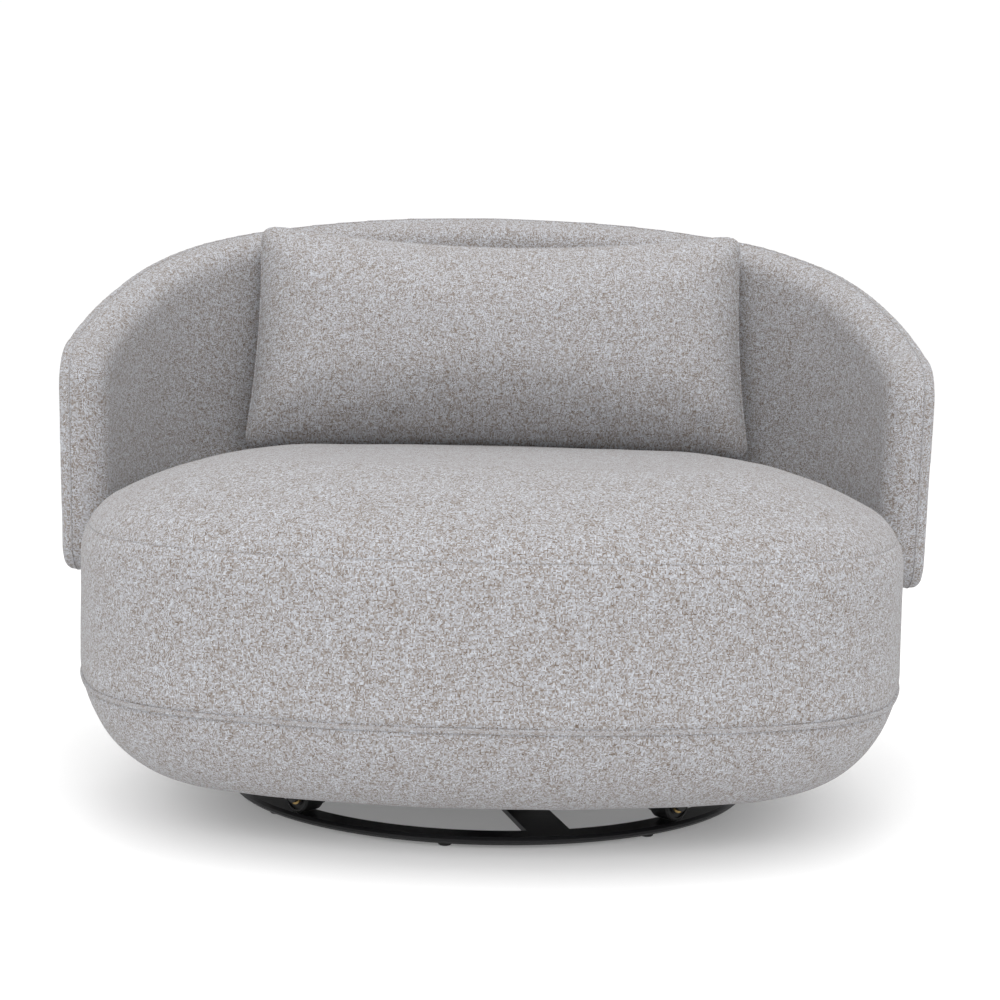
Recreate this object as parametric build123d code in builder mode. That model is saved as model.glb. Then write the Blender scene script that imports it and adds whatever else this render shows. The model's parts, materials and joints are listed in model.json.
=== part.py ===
from build123d import *
import os
from math import asin, atan2, cos, degrees, hypot, pi, radians, sin, tan

# Swivel armchair: a round upholstered seat that turns on a flat ring, a back that wraps round its
# rear half, and a loose lumbar cushion. Millimetres, +Z up, the front faces -Y. The origin is on the
# floor, on the swivel axis, under the middle of the chair's depth.

# Seat drum
seat_width = 980
seat_front = 484  # from the swivel axis to the front of the seat
seat_height = 420
drum_bottom = 63
corner_radius = 235  # plan outline, between the nearly flat stretches
flat_angle = 20  # half of what each nearly flat stretch of the plan outline turns
foot_radius = 130
shoulder_radius = 75
shoulder_height = 305  # where the upright side starts to round over
foot_facets = 4  # straight cuts of the foam under the round of the foot
shoulder_facets = 3
crown_facets = 3
crown_inset = 225  # from the side to where the top is level

# Seat covers
cover_thickness = 2
top_seam_height = 336
piping_height = 165
piping_radius = 3
piping_stand = 2  # how far the cord's middle stands out of the cover
cord_sides = 8
turn_under = 30  # lower cover under the base panel

# Seat frame and filling
side_foam_thickness = 25
wall_thickness = 3
panel_thickness = 18
panel_margin = 2  # from the end of the foot's round to the base panel
panel_opening = 42
ring_depth = 18
ring_board_width = 80
support_height = 303  # top of the ring board that carries the webbing
rib_thickness = 18
rib_foot = 70
rib_angles = (-90, -45, 0, 40, 90, 140, 180, 225)
rib_clearance = 0.8  # from a rib's flat edges to the curved wall and foam
strap_width = 50
strap_thickness = 1.5
strap_pitch = 110
strap_margin = 10  # from the edge of the ring board to a strap's end

# Back
overall_height = 750
wing_height = 534
wing_front = 10  # from the swivel axis back to the front of the wings
back_bottom = 253
back_gap = 3  # between the seat and the back
back_foam_thickness = 22
shell_thickness = 12
shell_margin = 10  # from the edge of the back to the edge of its shell
back_flare = 1.2
rim_radius = 35  # inner edge of the back
edge_radius = 9  # outer edge of the back
wing_top_radius = 60
wing_bottom_radius = 36
outer_seam = 16  # from the outer face of the back to the seam near its edge

# Fixings of the back
fixing_angles = (12, 60, 120, 168)
fixing_height = 275
fixing_radius = 4
sleeve_radius = 10
block_depth = 40
block_width = 60
bolt_clearance = 0.2
bolt_head_radius = 8
bolt_head_height = 5
nut_radius = 8
nut_height = 7
nut_pocket = 1  # room round a nut in the foam

# Cushion
cushion_width = 694
cushion_top_width = 673
cushion_height = 313
cushion_thickness = 160
cushion_crown_run = 120  # from the sewn edge to where the faces are level
cushion_top_sag = 26
cushion_bottom_rise = 11
cushion_side_draw = 8
cushion_corner = 14
cushion_lean = 14
cushion_depth = 291  # from the swivel axis back to the middle of the cushion
cushion_middle = 562.4  # floor to the middle of the cushion
cushion_cord_radius = 3
crown_steps = (0, 0.06, 0.18, 0.4, 0.7, 1)
crown_fullness = 0.7  # lower is fuller near the sewn edge
crown_straighten = 0.8  # how much of the sides' draw the level part of the faces loses
corner_growth = 1 / 6  # of a corner's radius, by how far the outline is inset
cord_clearance = 0.9  # from the cushion's cover to its cord

# Base
base_turn = 14  # how far the base is turned under the seat
ring_radius = 308
ring_width = 34
ring_thickness = 9
ring_edge = 3
bar_width = 50
bar_thickness = 6
glide_count = 8
glide_radius = 7.5
glide_height = 5
glide_edge = 1
stem_radius = 3
stem_height = 5
plate_radius = 70
plate_thickness = 6

# Pivot
post_radius = 12.5
thread_radius = 10
thread_length = 15
running_clearance = 0.05
end_play = 0.3
bush_wall = 3.5
hub_wall = 6
hub_flange_radius = 46
hub_flange_thickness = 6
washer_radius = 24
washer_thickness = 3
pivot_nut_radius = 17
pivot_nut_height = 10
thrust_radius = 42
thrust_thickness = 4

# Arms and rollers
roller_angle = 43  # each arm's turn from the chair's front
arm_width = 50
arm_height = 20
arm_wall = 2
arm_bolt_radii = (110, 230)
bracket_thickness = 5
bracket_eye = 15
roller_radius = 20
roller_width = 28
roller_edge = 2
roller_clearance = 0.3
recess_inner = 11.5
recess_outer = 16.5
recess_depth = 2.5
roller_gap = 4  # from the bracket to the wheel
roller_bush_radius = 7
roller_flange_radius = 10
roller_flange = 2
axle_radius = 5
axle_head_radius = 7.5
axle_head_height = 4.5

# Heights and insets that follow
back_thickness = 2 * (cover_thickness + back_foam_thickness) + shell_thickness
flare_slope = tan(radians(back_flare))
rim_flare = (overall_height - edge_radius - shoulder_height) * flare_slope
seat_rear = seat_front - back_gap - back_thickness - rim_flare
wall_inset = cover_thickness + side_foam_thickness
frame_inset = wall_inset + wall_thickness
panel_inset = foot_radius + panel_margin
panel_bottom = drum_bottom + cover_thickness
panel_top = panel_bottom + panel_thickness
ring_board_bottom = support_height - ring_depth
foam_bottom = support_height + 2 * strap_thickness
bar_bottom = glide_height + (ring_thickness - bar_thickness) / 2
bar_top = bar_bottom + bar_thickness
plate_top = bar_top + plate_thickness
hub_bottom = plate_top + thrust_thickness + end_play
bush_radius = post_radius + running_clearance + bush_wall
hub_radius = bush_radius + hub_wall
arm_bottom = drum_bottom - arm_height
axle_height = glide_height + ring_thickness + roller_clearance + roller_radius
roller_inner = ring_radius - roller_width / 2
roller_outer = ring_radius + roller_width / 2
bracket_outer = roller_inner - roller_gap
arm_end = bracket_outer - bracket_thickness
shell_inner = back_gap + cover_thickness + back_foam_thickness
shell_outer = shell_inner + shell_thickness
back_outer = back_gap + back_thickness
arm_angles = (-90 - roller_angle, -90 + roller_angle, 90 - roller_angle, 90 + roller_angle)
roller_names = ("front_left", "front_right", "rear_right", "rear_left")
bolt_points = [
    (reach * cos(radians(angle)), reach * sin(radians(angle)))
    for angle in arm_angles
    for reach in arm_bolt_radii
]

# The crown arc is tangent to the shoulder arc and level where it ends.
crown_run = crown_inset - shoulder_radius
crown_rise = seat_height - shoulder_height
crown_radius = (crown_run**2 + crown_rise**2 - shoulder_radius**2) / (2 * (crown_rise - shoulder_radius))
crown_start = degrees(atan2(crown_radius - crown_rise, crown_run))

# The rim of the back rises from the wings so that its outer edge tops out at the overall height.
rim_run = seat_front - edge_radius - wing_front
rim_rise = overall_height - edge_radius - wing_height
rim_slope = atan2(rim_rise, rim_run) + asin(edge_radius / hypot(rim_run, rim_rise))


def plan_outline():
    """Centre, radius, start angle and turn of the ten tangent arcs of the seat in plan, from +X round."""
    turned = sin(radians(flat_angle))
    left = 1 - cos(radians(flat_angle))
    corner_span = corner_radius * (cos(radians(flat_angle)) - turned)
    corner_turn = 90 - 2 * flat_angle
    arcs = []
    for depth, half_turn in ((seat_rear, 0), (seat_front, 180)):
        across = seat_width / 2 - corner_span
        along = depth - corner_span
        end_radius = (across * turned - along * left) / (turned**2 - left**2)
        side_radius = (along * turned - across * left) / (turned**2 - left**2)
        side_x = seat_width / 2 - side_radius
        corner_x = side_x + (side_radius - corner_radius) * cos(radians(flat_angle))
        corner_y = (side_radius - corner_radius) * turned
        half = (
            (side_x, 0, side_radius, 0, flat_angle),
            (corner_x, corner_y, corner_radius, flat_angle, corner_turn),
            (0, depth - end_radius, end_radius, 90 - flat_angle, 2 * flat_angle),
            (-corner_x, corner_y, corner_radius, 90 + flat_angle, corner_turn),
            (-side_x, 0, side_radius, 180 - flat_angle, flat_angle),
        )
        for x, y, radius, start, turn in half:
            arcs.append((Vector(x, y).rotate(Axis.Z, half_turn), radius, start + half_turn, turn))
    return arcs


outline = plan_outline()
rear_outline = outline[:5]


def oval(grow, height):
    """The seat's plan, grown outwards, at a height."""
    with BuildSketch(Plane.XY.offset(height)) as face:
        with BuildLine():
            for centre, radius, start, turn in outline:
                CenterArc(centre, radius + grow, start, turn)
        make_face()
    return face.sketch


def direction(angle):
    """Level unit vector at an angle from +X."""
    return Vector(cos(radians(angle)), sin(radians(angle)))


def rim_point(angle):
    """Point of the plan outline that faces an angle."""
    for centre, radius, start, turn in outline:
        if start <= angle % 360 <= start + turn:
            return centre + direction(angle) * radius


def outside(point):
    """How far a point of the back lies outside the seat, less what the flare adds at its height."""
    for centre, radius, start, turn in rear_outline:
        away = point - centre
        if start <= degrees(atan2(away.Y, away.X)) <= start + turn:
            return hypot(away.X, away.Y) - radius - (point.Z - shoulder_height) * flare_slope


def section_plane(angle):
    """Upright plane square to the outline: x is the distance outside the seat, y is the height."""
    return Plane(rim_point(angle), x_dir=direction(angle), z_dir=direction(angle - 90))


def around(section, arcs):
    """Solid that a half section sweeps out along arcs of the plan outline."""
    with BuildPart() as ring:
        for centre, radius, start, turn in arcs:
            revolve(section_plane(start) * section, axis=Axis(centre, (0, 0, 1)), revolution_arc=turn)
    return ring.part


def fixing_plane(angle, distance):
    """Plane across a fixing of the back, at a distance outside the seat."""
    origin = rim_point(angle) + direction(angle) * distance + Vector(0, 0, fixing_height)
    return Plane(origin, x_dir=direction(angle - 90), z_dir=direction(angle))


def arm_plane(angle):
    """Upright plane along an arm: x is the distance from the swivel axis, y is the height."""
    return Plane((0, 0, 0), x_dir=direction(angle), z_dir=direction(angle - 90))


def drum_section(inset):
    """Half section of the drum, inset from its surface, from where the top is level to the side."""
    foot_centre = (-foot_radius, drum_bottom + foot_radius)
    shoulder_centre = (-shoulder_radius, shoulder_height)
    crown_centre = (-crown_inset, seat_height - crown_radius)
    with BuildSketch() as section:
        with BuildLine():
            bottom = Line((-crown_inset, drum_bottom + inset), (-foot_radius, drum_bottom + inset))
            foot = CenterArc(foot_centre, foot_radius - inset, -90, 90)
            side = Line(foot @ 1, (-inset, shoulder_height))
            CenterArc(shoulder_centre, shoulder_radius - inset, 0, crown_start)
            crown = CenterArc(crown_centre, crown_radius - inset, crown_start, 90 - crown_start)
            Line(crown @ 1, bottom @ 0)
        make_face()
    return section.sketch


def faceted_section(inset):
    """The same half section in straight facets whose corners lie on its arcs."""
    foot_centre = (-foot_radius, drum_bottom + foot_radius)
    shoulder_centre = (-shoulder_radius, shoulder_height)
    crown_centre = (-crown_inset, seat_height - crown_radius)
    rounds = (
        (foot_centre, foot_radius - inset, -90, 0, foot_facets),
        (shoulder_centre, shoulder_radius - inset, 0, crown_start, shoulder_facets),
        (crown_centre, crown_radius - inset, crown_start, 90, crown_facets),
    )
    corners = [(-crown_inset, drum_bottom + inset)]
    for centre, radius, start, end, facets in rounds:
        for step in range(facets + 1):
            turned = direction(start + (end - start) * step / facets)
            corners.append((centre[0] + radius * turned.X, centre[1] + radius * turned.Y))
    with BuildSketch() as section:
        with BuildLine():
            Polyline(*corners, close=True)
        make_face()
    return section.sketch


def between(low, high):
    """The stretch of a half section between two heights."""
    with BuildSketch() as band:
        with Locations((0, low)):
            Rectangle(crown_inset, high - low, align=(Align.MAX, Align.MIN))
    return band.sketch


def cover_section(low, high):
    """Half section of the seat's cover between two heights, with a groove for the piping."""
    with BuildSketch() as skin:
        add(drum_section(0))
        add(faceted_section(cover_thickness), mode=Mode.SUBTRACT)
        add(between(low, high), mode=Mode.INTERSECT)
        with Locations(piping_spot):
            RegularPolygon(piping_radius, cord_sides, mode=Mode.SUBTRACT)
    return skin.sketch


def fixing_rods(radius, near, far):
    """Rods along the fixings of the back, between two distances outside the seat."""
    with BuildPart() as rods:
        for angle in fixing_angles:
            with BuildSketch(fixing_plane(angle, near)):
                Circle(radius)
        extrude(amount=far - near)
    return rods.part


def on_face(edge, distance):
    """Whether an edge of the back lies on the face at a distance outside the seat."""
    gap = outside(edge @ 0.5)
    return gap is not None and abs(gap - distance) < edge_radius / 2


def wing_profile(margin):
    """Side view of the back, drawn in by a margin: level below, upright in front, rising to the rear."""
    front = wing_front + margin
    rear = seat_front + rim_radius
    low = back_bottom + margin
    drop = margin / cos(rim_slope)
    front_top = wing_height + (front - wing_front) * tan(rim_slope) - drop
    rear_top = wing_height + (rear - wing_front) * tan(rim_slope) - drop
    with BuildSketch(Plane.YZ) as profile:
        with BuildLine():
            Polyline((front, low), (rear, low), (rear, rear_top), (front, front_top), close=True)
        make_face()
        fillet(profile.vertices().group_by(Axis.X)[0].sort_by(Axis.Y)[-1], wing_top_radius - margin)
        fillet(profile.vertices().group_by(Axis.Y)[0].sort_by(Axis.X)[0], wing_bottom_radius - margin)
    return profile.sketch


def back_wall(near, far):
    """Wall round the rear of the seat between two distances, flared a little towards its top."""
    low = drum_bottom
    high = overall_height + rim_radius
    low_flare = (low - shoulder_height) * flare_slope
    high_flare = (high - shoulder_height) * flare_slope
    with BuildSketch() as section:
        with BuildLine():
            Polyline(
                (near + low_flare, low),
                (far + low_flare, low),
                (far + high_flare, high),
                (near + high_flare, high),
                close=True,
            )
        make_face()
    return around(section.sketch, rear_outline)


def back_form(margin):
    """The padded back, drawn in by a margin: a wide round on its inner edge, a tight one on its outer."""
    with BuildPart() as form:
        add(back_wall(back_gap + margin, back_outer - margin))
        extrude(wing_profile(margin), amount=seat_width, both=True, mode=Mode.INTERSECT)
        for face_distance, radius in ((back_gap + margin, rim_radius), (back_outer - margin, edge_radius)):
            rim = form.edges().filter_by(GeomType.LINE, reverse=True)
            fillet(rim.filter_by(lambda edge: on_face(edge, face_distance)), radius - margin)
    return form.part


def cushion_outline(inset, depth, straight):
    """Outline of the cushion, inset from its sewn edge, at a depth in front of its middle plane."""
    half_width = cushion_width / 2 - inset
    half_top = cushion_top_width / 2 - inset
    half_height = cushion_height / 2 - inset
    half_middle = (half_width + half_top) / 2 - cushion_side_draw * straight
    with BuildSketch(cushion_plane.offset(depth)) as face:
        with BuildLine():
            corners = (
                (-half_top, half_height),
                (-half_width, -half_height),
                (half_width, -half_height),
                (half_top, half_height),
            )
            middles = (
                (-half_middle, 0),
                (0, -half_height + cushion_bottom_rise * straight),
                (half_middle, 0),
                (0, half_height - cushion_top_sag * straight),
            )
            for corner, middle, following in zip(corners, middles, corners[1:] + corners[:1]):
                ThreePointArc(corner, middle, following)
        make_face()
        fillet(face.vertices(), cushion_corner + inset * corner_growth)
    return face.sketch


def cushion_form(margin):
    """Both crowned halves of the cushion, drawn in by a margin."""
    half_thickness = cushion_thickness / 2 - margin
    with BuildPart() as form:
        for side in (1, -1):
            loft(
                [
                    cushion_outline(
                        margin + step * (cushion_crown_run - margin),
                        side * half_thickness * sin(pi / 2 * step**crown_fullness),
                        1 - crown_straighten * step,
                    )
                    for step in crown_steps
                ],
                ruled=True,
            )
    return form.part


piping_spot = (
    piping_stand - foot_radius + ((foot_radius**2 - (drum_bottom + foot_radius - piping_height) ** 2) ** 0.5),
    piping_height,
)
cushion_plane = Plane(
    (0, cushion_depth, cushion_middle),
    x_dir=(1, 0, 0),
    z_dir=(0, -cos(radians(cushion_lean)), sin(radians(cushion_lean))),
)

# Base: ring, crossbars, glides
with BuildPart() as base_ring:
    with BuildSketch(Plane.XZ) as ring_section:
        with Locations((ring_radius, glide_height + ring_thickness / 2)):
            Rectangle(ring_width, ring_thickness)
        chamfer(ring_section.vertices(), ring_edge)
    revolve(axis=Axis.Z)
    with BuildSketch(Plane.XY.offset(glide_height)):
        with PolarLocations(ring_radius, glide_count, start_angle=base_turn + 180 / glide_count):
            Circle(stem_radius)
    extrude(amount=stem_height, mode=Mode.SUBTRACT)

with BuildPart() as floor_glides:
    with BuildSketch():
        with PolarLocations(ring_radius, glide_count, start_angle=base_turn + 180 / glide_count):
            Circle(glide_radius)
    extrude(amount=glide_height)
    chamfer(floor_glides.edges().group_by(Axis.Z)[0], glide_edge)
    with BuildSketch(Plane.XY.offset(glide_height)):
        with PolarLocations(ring_radius, glide_count, start_angle=base_turn + 180 / glide_count):
            Circle(stem_radius)
    extrude(amount=stem_height)

with BuildPart() as base_crossbar_long:
    with BuildSketch(Plane.XY.offset(bar_bottom).rotated((0, 0, base_turn))):
        Rectangle(bar_width, 2 * ring_radius)
    extrude(amount=bar_thickness)
    add(base_ring.part, mode=Mode.SUBTRACT)

with BuildPart() as base_crossbar_short:
    with BuildSketch(Plane.XY.offset(bar_bottom).rotated((0, 0, base_turn))):
        Rectangle(2 * ring_radius, bar_width)
        Rectangle(bar_width, bar_width, mode=Mode.SUBTRACT)
    extrude(amount=bar_thickness)
    add(base_ring.part, mode=Mode.SUBTRACT)

# Pivot: plate and post on the base
with BuildPart() as pivot_plate:
    with BuildSketch(Plane.XY.offset(bar_top)):
        Circle(plate_radius)
        Circle(post_radius, mode=Mode.SUBTRACT)
    extrude(amount=plate_thickness)
    chamfer(pivot_plate.edges().group_by(Axis.Z)[-1].sort_by(SortBy.RADIUS)[-1], plate_thickness / 4)

shoulder_top = drum_bottom + end_play
with BuildPart() as pivot_post:
    with BuildSketch(Plane.XY.offset(bar_top)):
        Circle(post_radius)
    extrude(amount=shoulder_top - bar_top)
    with BuildSketch(Plane.XY.offset(shoulder_top)):
        Circle(thread_radius)
    extrude(amount=thread_length)
    chamfer(pivot_post.edges().group_by(Axis.Z)[-1], thread_radius / 10)

with BuildPart() as pivot_washer:
    with BuildSketch(Plane.XY.offset(shoulder_top)):
        Circle(washer_radius)
        Circle(thread_radius, mode=Mode.SUBTRACT)
    extrude(amount=washer_thickness)

with BuildPart() as pivot_nut:
    with BuildSketch(Plane.XY.offset(shoulder_top + washer_thickness)):
        RegularPolygon(pivot_nut_radius, 6)
        Circle(thread_radius, mode=Mode.SUBTRACT)
    extrude(amount=pivot_nut_height)

with BuildPart() as thrust_washer:
    with BuildSketch(Plane.XY.offset(plate_top)):
        Circle(thrust_radius)
        Circle(post_radius, mode=Mode.SUBTRACT)
    extrude(amount=thrust_thickness)

# Seat carrier: hub, bush, crossing arms, brackets
with BuildPart() as swivel_hub:
    with BuildSketch(Plane.XY.offset(hub_bottom)):
        Circle(hub_flange_radius)
    extrude(amount=hub_flange_thickness)
    chamfer(swivel_hub.edges().group_by(Axis.Z)[-1], hub_flange_thickness / 4)
    with BuildSketch(Plane.XY.offset(hub_bottom)):
        Circle(hub_radius)
    extrude(amount=drum_bottom - hub_bottom)
    with BuildSketch(Plane.XY.offset(hub_bottom)):
        Circle(bush_radius)
    extrude(amount=drum_bottom - hub_bottom, mode=Mode.SUBTRACT)

with BuildPart() as pivot_bush:
    with BuildSketch(Plane.XY.offset(hub_bottom)):
        Circle(bush_radius)
        Circle(post_radius + running_clearance, mode=Mode.SUBTRACT)
    extrude(amount=drum_bottom - hub_bottom)


def arm_tube(angle):
    """Square tube along an arm and its opposite, with its bolt holes and the eye for the hub."""
    with BuildPart() as tube:
        with BuildSketch(Plane.XY.offset(arm_bottom).rotated((0, 0, angle))):
            Rectangle(2 * arm_end, arm_width)
        extrude(amount=arm_height)
        with BuildSketch(Plane.XY.offset(arm_bottom + arm_wall).rotated((0, 0, angle))):
            Rectangle(2 * arm_end, arm_width - 2 * arm_wall)
        extrude(amount=arm_height - 2 * arm_wall, mode=Mode.SUBTRACT)
        with BuildSketch(Plane.XY.offset(arm_bottom)):
            Circle(hub_radius)
            with Locations(*bolt_points):
                Circle(fixing_radius + bolt_clearance)
        extrude(amount=arm_height, mode=Mode.SUBTRACT)
    return tube.part


with BuildPart() as arm_long:
    add(arm_tube(arm_angles[0]))

with BuildPart() as arm_short:
    add(arm_tube(arm_angles[1]))
    with BuildSketch(Plane.XY.offset(arm_bottom).rotated((0, 0, arm_angles[0]))):
        Rectangle(2 * arm_end, arm_width)
    extrude(amount=arm_height, mode=Mode.SUBTRACT)

with BuildPart() as roller_brackets:
    for angle in arm_angles:
        bracket_plane = Plane(direction(angle) * arm_end, x_dir=direction(angle + 90), z_dir=direction(angle))
        with BuildSketch(bracket_plane):
            with Locations((0, axle_height)):
                Circle(bracket_eye)
            with Locations((0, arm_bottom)):
                Rectangle(arm_width, arm_height, align=(Align.CENTER, Align.MIN))
            make_hull()
            with Locations((0, axle_height)):
                Circle(axle_radius, mode=Mode.SUBTRACT)
    extrude(amount=bracket_thickness)

# Axle bolts with their heads outside the wheels, nuts behind the brackets
axle_head_inner = roller_outer + roller_flange + end_play
with BuildPart() as roller_axles:
    for angle in arm_angles:
        with BuildSketch(arm_plane(angle)):
            with Locations((arm_end - nut_height - end_play, axle_height)):
                Rectangle(
                    axle_head_inner - arm_end + nut_height + end_play, axle_radius, align=(Align.MIN, Align.MIN)
                )
            with Locations((axle_head_inner, axle_height)):
                Rectangle(axle_head_height, axle_head_radius, align=(Align.MIN, Align.MIN))
        revolve(axis=Axis((0, 0, axle_height), direction(angle)))

with BuildPart() as axle_nuts:
    for angle in arm_angles:
        nut_origin = direction(angle) * (arm_end - nut_height) + Vector(0, 0, axle_height)
        with BuildSketch(Plane(nut_origin, x_dir=direction(angle + 90), z_dir=direction(angle))):
            RegularPolygon(nut_radius, 6)
            Circle(axle_radius, mode=Mode.SUBTRACT)
    extrude(amount=nut_height)


# Rollers: a recessed wheel on a flanged bush, drawn in a section along the arm
def roller_wheel(angle):
    """Wheel of one roller."""
    with BuildPart() as wheel:
        with BuildSketch(arm_plane(angle)) as section:
            with Locations((roller_inner, axle_height + roller_bush_radius)):
                Rectangle(roller_width, roller_radius - roller_bush_radius, align=(Align.MIN, Align.MIN))
            chamfer(section.vertices().group_by(Axis.Y)[-1], roller_edge)
            with Locations((roller_outer, axle_height + recess_inner)):
                Rectangle(
                    recess_depth, recess_outer - recess_inner, align=(Align.MAX, Align.MIN), mode=Mode.SUBTRACT
                )
        revolve(axis=Axis((0, 0, axle_height), direction(angle)))
    return wheel.part


def roller_bush(angle):
    """Flanged bush of one roller, long enough to space the wheel from its bracket."""
    bush_start = bracket_outer + end_play
    with BuildPart() as bush:
        with BuildSketch(arm_plane(angle)):
            with Locations((bush_start, axle_height)):
                Rectangle(roller_outer - bush_start, roller_bush_radius, align=(Align.MIN, Align.MIN))
            with Locations((roller_outer, axle_height)):
                Rectangle(roller_flange, roller_flange_radius, align=(Align.MIN, Align.MIN))
            with Locations((bush_start, axle_height)):
                Rectangle(
                    axle_head_inner - bush_start,
                    axle_radius + running_clearance,
                    align=(Align.MIN, Align.MIN),
                    mode=Mode.SUBTRACT,
                )
        revolve(axis=Axis((0, 0, axle_height), direction(angle)))
    return bush.part


# Bolts from under the arms into the base panel
with BuildPart() as frame_bolts:
    with BuildSketch(Plane.XY.offset(arm_bottom - bolt_head_height)):
        with Locations(*bolt_points):
            Circle(bolt_head_radius)
    extrude(amount=bolt_head_height)
    with BuildSketch(Plane.XY.offset(arm_bottom)):
        with Locations(*bolt_points):
            Circle(fixing_radius)
    extrude(amount=panel_top + nut_height - arm_bottom)

with BuildPart() as frame_nuts:
    with BuildSketch(Plane.XY.offset(panel_top)):
        with Locations(*bolt_points):
            RegularPolygon(nut_radius, 6)
            Circle(fixing_radius, mode=Mode.SUBTRACT)
    extrude(amount=nut_height)

# Seat frame: base panel, ribs, ring board, wall
with BuildPart() as base_panel:
    extrude(oval(-panel_inset, panel_bottom), amount=panel_thickness)
    with BuildSketch(Plane.XY.offset(panel_bottom)):
        Circle(panel_opening)
        with Locations(*bolt_points):
            Circle(fixing_radius + bolt_clearance)
    extrude(amount=panel_thickness, mode=Mode.SUBTRACT)

with BuildPart() as drum_ribs:
    for angle in rib_angles:
        with BuildSketch(section_plane(angle)):
            add(drum_section(frame_inset + rib_clearance))
            with Locations((-panel_inset - rib_clearance, panel_top)):
                Rectangle(rib_foot, frame_inset, align=(Align.MAX, Align.MIN))
            with Locations((-panel_inset - rib_foot, panel_top)):
                Rectangle(
                    panel_inset + rib_foot,
                    ring_board_bottom - panel_top,
                    align=(Align.MIN, Align.MIN),
                    mode=Mode.INTERSECT,
                )
            with BuildLine():
                Polyline(
                    (-panel_inset - rib_foot, panel_top + rib_foot),
                    (-panel_inset - rib_foot, ring_board_bottom),
                    (-frame_inset - ring_board_width, ring_board_bottom),
                    close=True,
                )
            make_face(mode=Mode.SUBTRACT)
    extrude(amount=rib_thickness / 2, both=True)

with BuildPart() as ring_board:
    extrude(oval(-frame_inset, ring_board_bottom), amount=ring_depth)
    extrude(oval(-frame_inset - ring_board_width, ring_board_bottom), amount=ring_depth, mode=Mode.SUBTRACT)

wall_height = support_height - drum_bottom - foot_radius
with BuildSketch() as wall_section:
    with Locations((-wall_inset, drum_bottom + foot_radius)):
        Rectangle(wall_thickness, wall_height, align=(Align.MAX, Align.MIN))

with BuildPart() as drum_wall:
    add(around(wall_section.sketch, outline))
    add(fixing_rods(sleeve_radius, -frame_inset, 0), mode=Mode.SUBTRACT)

# Webbing in two crossing layers on the ring board
strap_limit = -frame_inset - strap_margin
strap_rows = int((seat_front + seat_rear - 2 * (frame_inset + ring_board_width)) / strap_pitch)
strap_columns = int((seat_width - 2 * (frame_inset + ring_board_width)) / strap_pitch)
strap_middle = (seat_rear - seat_front) / 2

with BuildPart() as webbing_lengthwise:
    with BuildSketch(Plane.XY.offset(support_height)):
        with GridLocations(strap_pitch, 0, strap_columns, 1):
            Rectangle(strap_width, 2 * seat_front)
    extrude(amount=strap_thickness)
    extrude(oval(strap_limit, support_height), amount=strap_thickness, mode=Mode.INTERSECT)

with BuildPart() as webbing_crosswise:
    with BuildSketch(Plane.XY.offset(support_height + strap_thickness)):
        with Locations((0, strap_middle)):
            with GridLocations(0, strap_pitch, 1, strap_rows):
                Rectangle(seat_width, strap_width)
    extrude(amount=strap_thickness)
    extrude(oval(strap_limit, support_height + strap_thickness), amount=strap_thickness, mode=Mode.INTERSECT)

# Seat filling
with BuildSketch() as side_foam_section:
    add(faceted_section(cover_thickness))
    add(faceted_section(wall_inset), mode=Mode.SUBTRACT)
    add(between(panel_bottom, foam_bottom), mode=Mode.INTERSECT)
    with Locations((-panel_inset, panel_bottom)):
        Rectangle(crown_inset, wall_inset, align=(Align.MAX, Align.MIN), mode=Mode.SUBTRACT)

with BuildPart() as side_foam:
    add(around(side_foam_section.sketch, outline))
    add(fixing_rods(sleeve_radius, -frame_inset, 0), mode=Mode.SUBTRACT)

with BuildSketch() as seat_foam_section:
    add(faceted_section(cover_thickness))
    add(between(foam_bottom, seat_height), mode=Mode.INTERSECT)

with BuildPart() as seat_foam:
    add(around(seat_foam_section.sketch, outline))
    extrude(oval(-crown_inset, foam_bottom), amount=seat_height - cover_thickness - foam_bottom)

# Seat covers: domed top, upright band, rolled-under lower panel, piping, dust cover
with BuildPart() as seat_cover_top:
    add(around(cover_section(top_seam_height, seat_height), outline))
    extrude(oval(-crown_inset, seat_height - cover_thickness), amount=cover_thickness)

with BuildPart() as seat_cover_band:
    add(around(cover_section(piping_height, top_seam_height), outline))
    add(fixing_rods(sleeve_radius, -frame_inset, back_gap), mode=Mode.SUBTRACT)

with BuildSketch() as lower_section:
    add(cover_section(drum_bottom, piping_height))
    with Locations((-foot_radius - turn_under, drum_bottom)):
        Rectangle(crown_inset, cover_thickness, align=(Align.MAX, Align.MIN), mode=Mode.SUBTRACT)

with BuildPart() as seat_cover_lower:
    add(around(lower_section.sketch, outline))

with BuildSketch() as piping_section:
    with Locations(piping_spot):
        RegularPolygon(piping_radius, cord_sides)

with BuildPart() as seat_piping:
    add(around(piping_section.sketch, outline))

with BuildPart() as dust_cover:
    extrude(oval(-foot_radius - turn_under, drum_bottom), amount=cover_thickness)
    with BuildSketch(Plane.XY.offset(drum_bottom)):
        Circle(panel_opening)
        with Locations(*bolt_points):
            Circle(fixing_radius + bolt_clearance)
    extrude(amount=cover_thickness, mode=Mode.SUBTRACT)

# Back: bent shell, foam on both faces, two covers that meet at a seam near the outer edge
with BuildPart() as back_shell:
    add(back_wall(shell_inner, shell_outer))
    extrude(wing_profile(shell_margin), amount=seat_width, both=True, mode=Mode.INTERSECT)
    add(fixing_rods(fixing_radius + bolt_clearance, 0, back_outer), mode=Mode.SUBTRACT)

padded_back = back_form(0)
foam_back = back_form(cover_thickness)
shell_middle = (shell_inner + shell_outer) / 2
nut_room = nut_radius + nut_pocket

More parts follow.
